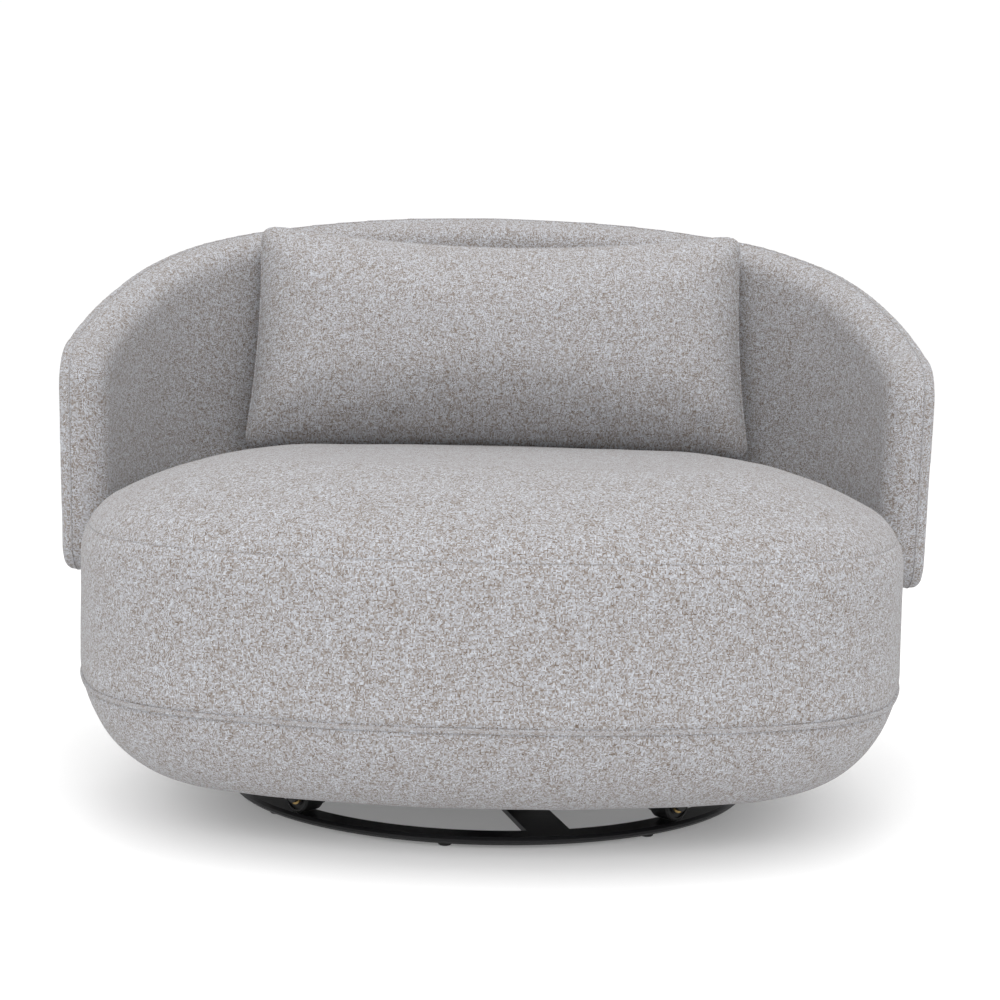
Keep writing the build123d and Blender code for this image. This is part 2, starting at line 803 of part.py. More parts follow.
with BuildPart() as back_foam_inner:
    add(foam_back)
    add(back_wall(shell_middle, back_outer + rim_radius), mode=Mode.SUBTRACT)
    add(back_shell.part, mode=Mode.SUBTRACT)
    add(fixing_rods(sleeve_radius, 0, shell_middle), mode=Mode.SUBTRACT)

with BuildPart() as back_foam_outer:
    add(foam_back)
    add(back_wall(back_gap - rim_radius, shell_middle), mode=Mode.SUBTRACT)
    add(back_shell.part, mode=Mode.SUBTRACT)
    add(fixing_rods(nut_room, shell_inner, shell_outer + nut_height + nut_pocket), mode=Mode.SUBTRACT)

with BuildPart() as back_cover_inner:
    add(padded_back)
    add(foam_back, mode=Mode.SUBTRACT)
    add(back_wall(back_outer - outer_seam, back_outer + rim_radius), mode=Mode.SUBTRACT)
    add(fixing_rods(sleeve_radius, 0, shell_middle), mode=Mode.SUBTRACT)

with BuildPart() as back_cover_outer:
    add(padded_back)
    add(foam_back, mode=Mode.SUBTRACT)
    add(back_wall(back_gap - rim_radius, back_outer - outer_seam), mode=Mode.SUBTRACT)

# Fixings of the back: blocks under the ring board, sleeves, bolts and nuts
with BuildPart() as back_blocks:
    for angle in fixing_angles:
        with BuildSketch(section_plane(angle)):
            with Locations((-frame_inset, ring_board_bottom)):
                Rectangle(block_depth, block_depth, align=(Align.MAX, Align.MAX))
    extrude(amount=block_width / 2, both=True)
    extrude(oval(-frame_inset, ring_board_bottom - block_depth), amount=block_depth, mode=Mode.INTERSECT)
    add(fixing_rods(fixing_radius + bolt_clearance, -frame_inset - block_depth, 0), mode=Mode.SUBTRACT)

with BuildPart() as back_sleeves:
    add(fixing_rods(sleeve_radius, -frame_inset, shell_middle))
    add(fixing_rods(fixing_radius + bolt_clearance, -frame_inset, shell_middle), mode=Mode.SUBTRACT)
    add(back_wall(shell_inner, shell_outer), mode=Mode.SUBTRACT)
    extrude(oval(-frame_inset, ring_board_bottom - block_depth), amount=block_depth, mode=Mode.SUBTRACT)

bolt_start = -frame_inset - block_depth
with BuildPart() as back_bolts:
    add(fixing_rods(fixing_radius, bolt_start, shell_outer + nut_height))
    add(fixing_rods(bolt_head_radius, bolt_start - bolt_head_height, bolt_start))

with BuildPart() as back_nuts:
    for angle in fixing_angles:
        with BuildSketch(fixing_plane(angle, shell_outer)):
            RegularPolygon(nut_radius, 6)
            Circle(fixing_radius, mode=Mode.SUBTRACT)
    extrude(amount=nut_height)

# Lumbar cushion: filling, cover and edge cord
cord_inset = -cushion_cord_radius - cord_clearance
cushion_edge = cushion_outline(cord_inset, 0, 1).face().outer_wire()

with BuildPart() as cushion_cord:
    with BuildSketch(Plane(cushion_edge @ 0, z_dir=cushion_edge % 0)):
        RegularPolygon(cushion_cord_radius, cord_sides)
    sweep(path=cushion_edge)

with BuildPart() as cushion_fill:
    add(cushion_form(cover_thickness))

with BuildPart() as cushion_cover:
    add(cushion_form(0))
    add(cushion_fill.part, mode=Mode.SUBTRACT)

pieces = {
    "base_ring": base_ring.part,
    "base_crossbar_long": base_crossbar_long.part,
    "base_crossbar_short": base_crossbar_short.part,
    "floor_glides": floor_glides.part,
    "pivot_plate": pivot_plate.part,
    "pivot_post": pivot_post.part,
    "pivot_washer": pivot_washer.part,
    "pivot_nut": pivot_nut.part,
    "thrust_washer": thrust_washer.part,
    "swivel_hub": swivel_hub.part,
    "pivot_bush": pivot_bush.part,
    "arm_long": arm_long.part,
    "arm_short": arm_short.part,
    "roller_brackets": roller_brackets.part,
    "roller_axles": roller_axles.part,
    "axle_nuts": axle_nuts.part,
    "frame_bolts": frame_bolts.part,
    "frame_nuts": frame_nuts.part,
    "base_panel": base_panel.part,
    "drum_ribs": drum_ribs.part,
    "ring_board": ring_board.part,
    "drum_wall": drum_wall.part,
    "webbing_lengthwise": webbing_lengthwise.part,
    "webbing_crosswise": webbing_crosswise.part,
    "side_foam": side_foam.part,
    "seat_foam": seat_foam.part,
    "seat_cover_top": seat_cover_top.part,
    "seat_cover_band": seat_cover_band.part,
    "seat_cover_lower": seat_cover_lower.part,
    "seat_piping": seat_piping.part,
    "dust_cover": dust_cover.part,
    "back_shell": back_shell.part,
    "back_foam_inner": back_foam_inner.part,
    "back_foam_outer": back_foam_outer.part,
    "back_cover_inner": back_cover_inner.part,
    "back_cover_outer": back_cover_outer.part,
    "back_blocks": back_blocks.part,
    "back_sleeves": back_sleeves.part,
    "back_bolts": back_bolts.part,
    "back_nuts": back_nuts.part,
    "cushion_fill": cushion_fill.part,
    "cushion_cover": cushion_cover.part,
    "cushion_cord": cushion_cord.part,
}
for name, angle in zip(roller_names, arm_angles):
    pieces["roller_wheel_" + name] = roller_wheel(angle)
    pieces["roller_bush_" + name] = roller_bush(angle)

os.makedirs("parts", exist_ok=True)
for name, piece in pieces.items():
    piece.label = name
    export_step(piece, "parts/" + name + ".step")
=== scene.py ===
import json
from math import asin, atan2, cos, degrees, hypot, pi, radians, sin, sqrt, tan

import bmesh
import bpy
from mathutils import Matrix, Vector, noise
from mathutils.bvhtree import BVHTree


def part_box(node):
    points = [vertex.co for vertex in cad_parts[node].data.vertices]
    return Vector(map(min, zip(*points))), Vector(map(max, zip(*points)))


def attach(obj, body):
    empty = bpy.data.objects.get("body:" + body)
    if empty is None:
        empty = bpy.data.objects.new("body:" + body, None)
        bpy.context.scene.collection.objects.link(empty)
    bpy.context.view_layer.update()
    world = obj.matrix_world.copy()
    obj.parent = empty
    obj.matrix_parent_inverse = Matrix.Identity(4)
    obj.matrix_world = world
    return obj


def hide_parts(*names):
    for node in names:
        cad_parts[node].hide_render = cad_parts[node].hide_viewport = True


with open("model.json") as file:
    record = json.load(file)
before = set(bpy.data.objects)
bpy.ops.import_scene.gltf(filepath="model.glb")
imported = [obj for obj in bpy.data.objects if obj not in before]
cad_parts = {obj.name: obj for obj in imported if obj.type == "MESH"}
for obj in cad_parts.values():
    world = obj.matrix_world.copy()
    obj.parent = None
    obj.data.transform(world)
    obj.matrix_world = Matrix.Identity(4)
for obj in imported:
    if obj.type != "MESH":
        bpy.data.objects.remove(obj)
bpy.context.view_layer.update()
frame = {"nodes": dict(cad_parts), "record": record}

# Swivel armchair: upholstery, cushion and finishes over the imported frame. Metres, +Z up, front faces -Y.
nodes = frame["nodes"]

# Camera fitted to the photograph
camera_place = Vector((0.0071, -2.2767, 0.5446))
camera_pitch = radians(4.62)
camera_roll = radians(1.3)
camera_lens = 65.1

# Seat drum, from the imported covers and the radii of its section
band_low, band_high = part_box("seat_cover_band")
seat_half = band_high.x
seat_front = -band_low.y
seat_rear = band_high.y
corner_radius = 0.235
flat_angle = 20
foot_radius = 0.130
shoulder_radius = 0.075
shoulder_height = 0.305
crown_inset = 0.225
drum_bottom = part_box("seat_cover_lower")[0].z
seat_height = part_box("seat_cover_top")[1].z
top_seam = band_high.z
piping_height = sum(corner.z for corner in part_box("seat_piping")) / 2
piping_radius = 0.0030
turn_under = 0.030
panel_depth = 0.012  # how thick the padded panels are modelled
top_seam_depth = 0.0008  # how far cloth is drawn into the seam round the top
piping_seam_depth = 0.0014
seam_reach = 0.010
side_swell = 0.010  # padding of the seat's sides, in front of the wings
swell_reach = 0.12  # over which it comes in
foot_sag = 0.006
foot_ease_low = 0.001  # the sag fades out between these, below and above the drum's bottom
foot_ease_high = 0.004
gather_height = 0.0008  # gathers of cloth beside a seam
gather_reach = 0.03
gathers_along = 55  # scale of their noise along the seam
gathers_off = 20  # and away from it
piping_sunk = 0.0002
piping_wander = 0.0008
piping_waves = 12
piping_seed = 5
stations = 360
panel_step = 0.005
crown_steps = 40
shoulder_steps = 24
foot_steps = 48
crown_rings = 30
crown_dip = 0.001  # of the very middle of the top
seat_seed = 1  # the same for all panels, so that they meet at their seams
path_slack = 1e-9  # by which the end of a path may miss a height

# Waves of stuffed cloth
wave_height = 0.0011
waves_per_metre = 7
ripple_height = 0.0005
ripples_per_metre = 21
wave_inset = 0.0012

# Back
back_low, back_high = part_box("back_cover_inner")
wing_front = back_low.y
back_bottom = back_low.z
wing_height = 0.534
wing_top_radius = 0.060
wing_bottom_radius = 0.036
back_edge = 0.009
back_flare = radians(1.2)
seam_distance = 0.047  # from the seat to the seam near the back's outer edge
seam_nearest = 0.3  # bounds between which the seam's distance from the middle is sought
seam_furthest = 0.7
edge_stations = 260
wing_bottom_steps = 12
wing_front_steps = 40
wing_top_steps = 16
back_voxel = 0.005
back_smoothing = 8
back_seed = 4
welt_radius = 0.0014
welt_sunk = 0.0004
facing_share = 0.66  # how squarely a face looks along an axis before its weave is laid along that axis

# Cushion
cushion_voxel = 0.006
cushion_smoothing = 2
cushion_pressure = 4
cushion_cap = 0.026
cushion_rear_cap = 0.004  # where it leans on the back
cushion_rear = -0.03  # depths between which the cap grows, from the cushion's middle plane
cushion_front = 0.01
cushion_slope = 0.11  # height over which the front swells from the lower edge up
cushion_frames = 20
cushion_draw = 0.12  # share of the edges' drawing in that is kept
cushion_lean = radians(14)
cushion_low, cushion_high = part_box("cushion_cord")
cushion_middle = (cushion_low + cushion_high) / 2
cushion_half = (cushion_high.z - cushion_low.z) / 2
cushion_up = Vector((0, sin(cushion_lean), cos(cushion_lean)))
cushion_out = Vector((0, -cos(cushion_lean), sin(cushion_lean)))
cord_radius = 0.0020
cushion_gap = 0.0025  # left under the cushion for its welt
cushion_near_seat = 0.01  # how far above the seat the cushion is looked at for touching it
seat_clear = 0.1  # above the seat, where rays down to it start
cushion_directions = 480
cushion_clear = 0.6  # from the middle to where rays start, outside the cushion
spread_start = 0.3  # share of the way out at which the cushion starts to be spread
cord_smoothing = 2
right = Vector((1, 0, 0))
down = Vector((0, 0, -1))

# Weave
thread = 0.0013  # pitch
thread_drift = 45  # scale of the noise by which threads wander
yarn_change = 150  # changes of tone per metre of yarn
yarn_apart = 3.7  # how far apart in the noise two neighbouring yarns lie
weft_layer = 9  # keeps the noise of the weft apart from that of the warp
weft_share = 0.35  # of the weft in a cell's tone where the warp is on top
weft_gain = 0.3  # added where the weft is on top
yarn_contrast = 1.10
yarn_offset = -0.30
speck_contrast = 0.44
patch_scale = 28
patch_contrast = 0.07
weave_colours = (
    (0.14, (0.120, 0.090, 0.070)),
    (0.38, (0.245, 0.217, 0.198)),
    (0.52, (0.307, 0.304, 0.312)),
    (0.68, (0.382, 0.391, 0.420)),
    (0.92, (0.540, 0.560, 0.600)),
)
weave_relief = 0.0007
weave_bump = 0.5
tone_relief = 0.6

# Hard finishes
roughness_spread = 0.16
grain_relief = 0.0004


# Materials

def node_material(name):
    """A material, its node tree and the shader to fill in."""
    material = bpy.data.materials.new(name)
    material.use_nodes = True
    return material, material.node_tree, material.node_tree.nodes["Principled BSDF"]


def fill(tree, socket, value):
    """Links a socket to another, or sets it."""
    if isinstance(value, bpy.types.NodeSocket):
        tree.links.new(value, socket)
    else:
        socket.default_value = value


def math_node(tree, operation, *values):
    """Result of a math node."""
    node = tree.nodes.new("ShaderNodeMath")
    node.operation = operation
    for socket, value in zip(node.inputs, values):
        fill(tree, socket, value)
    return node.outputs[0]


def vector_node(tree, operation, *values):
    """Result of a vector math node."""
    node = tree.nodes.new("ShaderNodeVectorMath")
    node.operation = operation
    for socket, value in zip(node.inputs, values):
        fill(tree, socket, value)
    return node.outputs[0]


def noise_node(tree, place, scale, detail, output="Fac"):
    """Smooth noise at a place."""
    node = tree.nodes.new("ShaderNodeTexNoise")
    fill(tree, node.inputs["Vector"], place)
    node.inputs["Scale"].default_value = scale
    node.inputs["Detail"].default_value = detail
    return node.outputs[output]


def combine(tree, x, y, z):
    """Vector of three values."""
    node = tree.nodes.new("ShaderNodeCombineXYZ")
    for socket, value in zip(node.inputs, (x, y, z)):
        fill(tree, socket, value)
    return node.outputs[0]


def separate(tree, vector):
    """X and Y of a vector."""
    node = tree.nodes.new("ShaderNodeSeparateXYZ")
    fill(tree, node.inputs[0], vector)
    return node.outputs["X"], node.outputs["Y"]


def colour_ramp(tree, value, stops):
    """Colour looked up along stops of (place, colour)."""
    ramp = tree.nodes.new("ShaderNodeValToRGB")
    fill(tree, ramp.inputs["Fac"], value)
    elements = ramp.color_ramp.elements
    while len(elements) < len(stops):
        elements.new(0.5)
    for element, (place, colour) in zip(elements, stops):
        element.position = place
        element.color = (*colour, 1)
    return ramp.outputs["Color"]


def bumped(tree, shader, height, strength, distance):
    """Gives a shader a bump."""
    node = tree.nodes.new("ShaderNodeBump")
    fill(tree, node.inputs["Height"], height)
    node.inputs["Strength"].default_value = strength
    node.inputs["Distance"].default_value = distance
    tree.links.new(node.outputs["Normal"], shader.inputs["Normal"])


def fabric(name):
    """Heathered slub weave: crossing yarns, each changing tone along its length."""
    material, tree, shader = node_material(name)
    attribute = tree.nodes.new("ShaderNodeAttribute")
    attribute.attribute_name = "weave"
    place = attribute.outputs["Vector"]
    drift = noise_node(tree, place, thread_drift, 1, "Color")
    threads = vector_node(tree, "MULTIPLY_ADD", place, (1 / thread, 1 / thread, 1), drift)
    cell = vector_node(tree, "FLOOR", threads)
    column, row = separate(tree, cell)
    across, up = separate(tree, place)
    warp_yarn = math_node(tree, "MULTIPLY", column, yarn_apart)
    warp = noise_node(tree, combine(tree, warp_yarn, math_node(tree, "MULTIPLY", up, yarn_change), 0), 1, 1)
    weft_yarn = math_node(tree, "MULTIPLY", row, yarn_apart)
    along_weft = math_node(tree, "MULTIPLY", across, yarn_change)
    weft = noise_node(tree, combine(tree, along_weft, weft_yarn, weft_layer), 1, 1)
    over = math_node(tree, "FLOORED_MODULO", math_node(tree, "ADD", column, row), 2)
    share = math_node(tree, "MULTIPLY_ADD", over, weft_gain, weft_share)
    yarn = math_node(tree, "MULTIPLY_ADD", share, math_node(tree, "SUBTRACT", weft, warp), warp)
    speck = tree.nodes.new("ShaderNodeTexWhiteNoise")
    speck.noise_dimensions = "2D"
    tree.links.new(cell, speck.inputs["Vector"])
    patch = noise_node(tree, place, patch_scale, 2)
    tone = math_node(tree, "MULTIPLY_ADD", yarn, yarn_contrast, yarn_offset)
    tone = math_node(tree, "MULTIPLY_ADD", speck.outputs["Value"], speck_contrast, tone)
    tone = math_node(tree, "MULTIPLY_ADD", patch, patch_contrast, tone)
    tree.links.new(colour_ramp(tree, tone, weave_colours), shader.inputs["Base Color"])
    part = vector_node(tree, "FRACTION", threads)
    left, low = separate(tree, part)
    domes = [math_node(tree, "SINE", math_node(tree, "MULTIPLY", side, pi)) for side in (left, low)]
    height = math_node(tree, "MULTIPLY_ADD", tone, tone_relief, math_node(tree, "MULTIPLY", *domes))
    bumped(tree, shader, height, weave_bump, weave_relief)
    shader.inputs["Roughness"].default_value = 0.95
    shader.inputs["Specular IOR Level"].default_value = 0.15
    shader.inputs["Sheen Weight"].default_value = 0.12
    shader.inputs["Sheen Roughness"].default_value = 0.5
    return material


def grained(name, dark, light, scale, roughness, metallic=0.0, strength=0.15, stretch=(1, 1, 1)):
    """A hard finish whose colour, roughness and fine bump vary by noise."""
    material, tree, shader = node_material(name)
    place = tree.nodes.new("ShaderNodeTexCoord").outputs["Object"]
    grain = noise_node(tree, vector_node(tree, "MULTIPLY", place, stretch), scale, 4)
    tree.links.new(colour_ramp(tree, grain, ((0.3, dark), (0.7, light))), shader.inputs["Base Color"])
    rough = math_node(tree, "MULTIPLY_ADD", grain, roughness_spread, roughness - roughness_spread / 2)
    tree.links.new(rough, shader.inputs["Roughness"])
    bumped(tree, shader, grain, strength, grain_relief)
    shader.inputs["Metallic"].default_value = metallic
    shader.inputs["Specular IOR Level"].default_value = 0.3
    return material


grey_fabric = fabric("grey_fabric")
finishes = {
    "grey_fabric": grey_fabric,
    "foam": grained("foam", (0.60, 0.54, 0.40), (0.74, 0.68, 0.52), 400, 0.95, strength=0.5),
    "black_cloth": grained("black_cloth", (0.01, 0.01, 0.01), (0.026, 0.025, 0.024), 900, 0.9, strength=0.4),
    "black_metal": grained(
        "black_metal", (0.006, 0.006, 0.007), (0.012, 0.012, 0.013), 1500, 0.36, strength=0.1
    ),
    "black_plastic": grained("black_plastic", (0.008, 0.008, 0.008), (0.016, 0.016, 0.016), 900, 0.5),
    "bolt_steel": grained("bolt_steel", (0.36, 0.36, 0.37), (0.50, 0.50, 0.52), 300, 0.35, metallic=1.0),
    "brass": grained("brass", (0.34, 0.23, 0.09), (0.46, 0.33, 0.14), 250, 0.32, metallic=1.0),
    "plywood": grained("plywood", (0.42, 0.27, 0.14), (0.62, 0.44, 0.26), 60, 0.6, stretch=(1, 0.08, 6)),
    "board": grained("board", (0.20, 0.13, 0.08), (0.29, 0.20, 0.12), 500, 0.7),
}
dark_steel = grained("dark_steel", (0.012, 0.012, 0.012), (0.030, 0.029, 0.028), 300, 0.4)
for subpart in frame["record"]["subparts"]:
    node = subpart["node"]
    finish = dark_steel if node == "roller_axles" else finishes[subpart["material_slot"]]
    nodes[node].data.materials.clear()
    nodes[node].data.materials.append(finish)


# Pieces of cloth

def new_piece(name, form, cloth, body):
    """A bmesh as a cloth-covered piece on a body; cloth gives each vertex its place on the weave."""
    bmesh.ops.recalc_face_normals(form, faces=form.faces)
    mesh = bpy.data.meshes.new(name)
    form.to_mesh(mesh)
    form.free()
    attribute = mesh.attributes.new("weave", "FLOAT_VECTOR", "POINT")
    for item, place in zip(attribute.data, cloth):
        item.vector = (*place, 0)
    obj = bpy.data.objects.new(name, mesh)
    bpy.context.scene.collection.objects.link(obj)
    dress(obj, body)
    return obj


def dress(obj, body):
    """Gives a finished form its cloth and its body."""
    obj.data.materials.clear()
    obj.data.materials.append(grey_fabric)
    for face in obj.data.polygons:
        face.use_smooth = True
        face.material_index = 0
    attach(obj, body)


def weave_by_face(obj, lay):
    """Lays the weave face by face: lay gives a corner's place from its vertex and where the face looks."""
    mesh = obj.data
    attribute = mesh.attributes.new("weave", "FLOAT_VECTOR", "CORNER")
    for face in mesh.polygons:
        for loop in face.loop_indices:
            attribute.data[loop].vector = (*lay(mesh.loops[loop].vertex_index, face.normal), 0)


def tube(name, points, sides_out, radius, body, facets=10):
    """Closed round cord along a loop of points, each with a direction square to the loop."""
    form = bmesh.new()
    cloth = []
    rings = []
    run = 0
    for index, (place, out) in enumerate(zip(points, sides_out)):
        following = points[(index + 1) % len(points)]
        ahead = (following - points[index - 1]).normalized()
        lift = ahead.cross(out).normalized()
        side = lift.cross(ahead)
        ring = []
        for step in range(facets):
            angle = 2 * pi * step / facets
            ring.append(form.verts.new(place + (side * cos(angle) + lift * sin(angle)) * radius))
            cloth.append((run, angle * radius))
        rings.append(ring)
        run += (following - place).length
    for near, far in zip(rings, rings[1:] + rings[:1]):
        for step in range(facets):
            after = (step + 1) % facets
            form.faces.new((near[step], near[after], far[after], far[step]))
    return new_piece(name, form, cloth, body)


# Seat: padded panels swept round the plan of the drum

def plan_arcs():
    """Centre, radius, start and turn of the tangent arcs of the seat in plan, from +X round."""
    turned = sin(radians(flat_angle))
    left = 1 - cos(radians(flat_angle))
    span = corner_radius * (cos(radians(flat_angle)) - turned)
    found = []
    for depth, sign in ((seat_rear, 1), (seat_front, -1)):
        across = seat_half - span
        along = depth - span
        end_radius = (across * turned - along * left) / (turned**2 - left**2)
        side_radius = (along * turned - across * left) / (turned**2 - left**2)
        side_x = seat_half - side_radius
        corner_x = side_x + (side_radius - corner_radius) * cos(radians(flat_angle))
        corner_y = (side_radius - corner_radius) * turned
        half_turn = 0 if sign > 0 else 180
        for x, y, radius, start, turn in (
            (side_x, 0, side_radius, 0, flat_angle),
            (corner_x, corner_y, corner_radius, flat_angle, 90 - 2 * flat_angle),
            (0, depth - end_radius, end_radius, 90 - flat_angle, 2 * flat_angle),
            (-corner_x, corner_y, corner_radius, 90 + flat_angle, 90 - 2 * flat_angle),
            (-side_x, 0, side_radius, 180 - flat_angle, flat_angle),
        ):
            found.append((Vector((sign * x, sign * y, 0)), radius, start + half_turn, turn))
    return found


arcs = plan_arcs()


def plan_spots(count, used):
    """Point, outward direction and distance along, evenly spaced over some arcs of the outline."""
    lengths = [radius * radians(turn) for _, radius, _, turn in used]
    spots = []
    for step in range(count):
        run = sum(lengths) * step / count
        passed = run
        for (centre, radius, start, turn), length in zip(used, lengths):
            if passed <= length:
                angle = radians(start + turn * passed / length)
                out = Vector((cos(angle), sin(angle), 0))
                spots.append((centre + out * radius, out, run))
                break
            passed -= length
    return spots


spots = plan_spots(stations, arcs)
crown_run = crown_inset - shoulder_radius
crown_rise = seat_height - shoulder_height
crown_radius = (crown_run**2 + crown_rise**2 - shoulder_radius**2) / (2 * (crown_rise - shoulder_radius))
crown_start = atan2(crown_radius - crown_rise, crown_run)


def drum_path():
    """Points (inset, height) down the drum's section, from where the top is level to under its foot."""
    path = []
    for step in range(crown_steps + 1):
        angle = pi / 2 + (crown_start - pi / 2) * step / crown_steps
        path.append((crown_inset - crown_radius * cos(angle), seat_height - crown_radius * (1 - sin(angle))))
    for step in range(1, shoulder_steps + 1):
        angle = crown_start * (1 - step / shoulder_steps)
        path.append((shoulder_radius * (1 - cos(angle)), shoulder_height + shoulder_radius * sin(angle)))
    for step in range(foot_steps + 1):
        angle = -pi / 2 * step / foot_steps
        path.append((foot_radius * (1 - cos(angle)), drum_bottom + foot_radius * (1 + sin(angle))))
    path.append((foot_radius + turn_under, drum_bottom))
    return path


def cut_path(path, high, low):
    """The stretch of a path between two heights, with points exactly on them."""
    kept = [path[0]] if low <= path[0][1] <= high else []
    for (inset, height), (next_inset, next_height) in zip(path, path[1:]):
        for limit in (high, low):
            if height > limit > next_height:
                share = (height - limit) / (height - next_height)
                kept.append((inset + (next_inset - inset) * share, limit))
        if low - path_slack <= next_height <= high:
            kept.append((next_inset, next_height))
    return kept


def refine(path, step):
    """The same path with points no further apart than a step."""
    fine = [path[0]]
    for start, end in zip(path, path[1:]):
        parts = max(1, round(hypot(end[0] - start[0], end[1] - start[1]) / step))
        for part in range(1, parts + 1):
            fine.append(tuple(a + (b - a) * part / parts for a, b in zip(start, end)))
    return fine


def path_normals(path):
    """Outward direction (inset, height) at each point of a path that runs down the drum."""
    normals = []
    for index in range(len(path)):
        before = path[max(index - 1, 0)]
        after = path[min(index + 1, len(path) - 1)]
        run = Vector((after[0] - before[0], after[1] - before[1])).normalized()
        normals.append((run.y, -run.x))
    return normals


def path_lengths(path):
    """Distance along a path at each of its points."""
    lengths = [0]
    for start, end in zip(path, path[1:]):
        lengths.append(lengths[-1] + hypot(end[0] - start[0], end[1] - start[1]))
    return lengths


def smooth_step(value, start, end):
    """Eases from 0 at a start to 1 at an end."""
    share = min(1, max(0, (value - start) / (end - start)))
    return share * share * (3 - 2 * share)


def padding(place, out, normal):
    """How far the padding swells the seat's sides in front of the wings and sags under its foot."""
    beside = side_swell * abs(out.x) * max(0, -normal[0]) * smooth_step(-place.y, 0, swell_reach)
    eased = smooth_step(place.z, drum_bottom - foot_ease_low, drum_bottom + foot_ease_high)
    return beside + foot_sag * max(0, -normal[1]) * eased


def unevenness(place, seed):
    """Slight waves of stuffed cloth, nearly all inwards."""
    wave = wave_height * noise.noise(place * waves_per_metre + Vector((seed, 0, 0)))
    return wave + ripple_height * noise.noise(place * ripples_per_metre) - wave_inset


def beside_seam(run, distance, depth):
    """How far cloth stands out from gathers at a distance from its seam, less what is drawn in."""
    drawn = depth * max(0, 1 - distance / seam_reach) ** 2
    spot = Vector((run * gathers_along, seat_seed, distance * gathers_off))
    return gather_height * max(0, 1 - distance / gather_reach) ** 2 * noise.noise(spot) - drawn


def panel(name, high, low, seams):
    """Closed padded panel swept round the seat between two heights; the topmost is closed over its middle.

    seams gives how deep the cloth is drawn in at its upper and lower edge.
    """
    path = refine(cut_path(drum_path(), high, low), panel_step)
    normals = path_normals(path)
    lengths = path_lengths(path)
    topmost = high >= seat_height
    form = bmesh.new()
    cloth = []
    rings = []

    def add_vertex(place, laid):
        cloth.append(laid)
        return form.verts.new(place)

    for (inset, height), normal, along in zip(path, normals, lengths):
        ring = []
        for spot, out, run in spots:
            place = spot - out * inset + Vector((0, 0, height))
            swell = padding(place, out, normal) + unevenness(place, seat_seed)
            for depth, distance in zip(seams, (along, lengths[-1] - along)):
                if depth:
                    swell += beside_seam(run, distance, depth)
            place -= out * normal[0] * swell
            place.z += normal[1] * swell
            flat = spot - out * (crown_inset - along)
            ring.append(add_vertex(place, (flat.x, flat.y) if topmost else (run, along)))
        rings.append(ring)
    if topmost:
        middle = Vector((0, (seat_rear - seat_front) / 2, 0))
        edge = rings[0]
        for step in range(1, crown_rings):
            share = 1 - step / crown_rings
            ring = []
            for vertex in edge:
                place = middle.lerp(vertex.co, share)
                place.z = seat_height + unevenness(Vector((place.x, place.y, seat_height)), seat_seed)
                ring.append(add_vertex(place, (place.x, place.y)))
            rings.insert(0, ring)
        for ring, height, flip in ((rings[0], seat_height - crown_dip, False), (rings[-1], low, True)):
            hub = add_vertex(middle + Vector((0, 0, height)), (middle.x, middle.y))
            for first, second in zip(ring, ring[1:] + ring[:1]):
                form.faces.new((second, first, hub) if flip else (first, second, hub))
    else:
        # Rear of the panel, in fewer rings, clear of its edges
        for (inset, height), normal, along in list(zip(path, normals, lengths))[-3:2:-4]:
            ring = []
            for spot, out, run in spots:
                place = spot - out * (inset - normal[0] * panel_depth)
                place.z = height - normal[1] * panel_depth
                ring.append(add_vertex(place, (run, along)))
            rings.append(ring)
        rings.append(rings[0])
    for upper, under in zip(rings, rings[1:]):
        for index in range(stations):
            after = (index + 1) % stations
            form.faces.new((upper[index], under[index], under[after], upper[after]))
    return new_piece(name, form, cloth, "seat")


seat_top = panel("seat_top", seat_height, top_seam, (0, top_seam_depth))
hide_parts("seat_cover_top", "seat_foam")

seat_band = panel("seat_band", top_seam, piping_height, (top_seam_depth, piping_seam_depth))
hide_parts("seat_cover_band", "side_foam")

seat_lower = panel("seat_lower", piping_height, drum_bottom, (piping_seam_depth, 0))
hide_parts("seat_cover_lower")

piping_drop = drum_bottom + foot_radius - piping_height
piping_inset = foot_radius - sqrt(foot_radius**2 - piping_drop**2)
piping_points = []
piping_sides = []
for spot, out, run in plan_spots(2 * stations, arcs):
    place = spot - out * piping_inset + Vector((0, 0, piping_height))
    wander = piping_wander * noise.noise(Vector((run * piping_waves, piping_seed, 0)))
    place += out * (padding(place, out, (-1, 0)) - piping_sunk) + Vector((0, 0, wander))
    piping_points.append(place)
    piping_sides.append(out)
piping = tube("piping", piping_points, piping_sides, piping_radius, "seat")
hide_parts("seat_piping")

dust_sheet = bpy.data.objects.new("dust_sheet", nodes["dust_cover"].data.copy())
bpy.context.scene.collection.objects.link(dust_sheet)
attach(dust_sheet, "seat")
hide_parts("dust_cover")


# Back and cushion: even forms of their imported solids

def settled(obj):
    """The object with its modifiers applied to its mesh."""
    graph = bpy.context.evaluated_depsgraph_get()
    mesh = bpy.data.meshes.new_from_object(obj.evaluated_get(graph))
    old = obj.data
    obj.modifiers.clear()
    obj.data = mesh
    bpy.data.meshes.remove(old)
    return obj


def packed_form(name, parts, voxel, smoothing):
    """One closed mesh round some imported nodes, in even faces."""
    form = bmesh.new()
    for part in parts:
        form.from_mesh(nodes[part].data)
    mesh = bpy.data.meshes.new(name)
    form.to_mesh(mesh)
    form.free()
    obj = bpy.data.objects.new(name, mesh)
    bpy.context.scene.collection.objects.link(obj)
    remesh = obj.modifiers.new("even", "REMESH")
    remesh.mode = "VOXEL"
    remesh.voxel_size = voxel
    relax = obj.modifiers.new("relax", "SMOOTH")
    relax.factor = 0.5
    relax.iterations = smoothing
    return settled(obj)


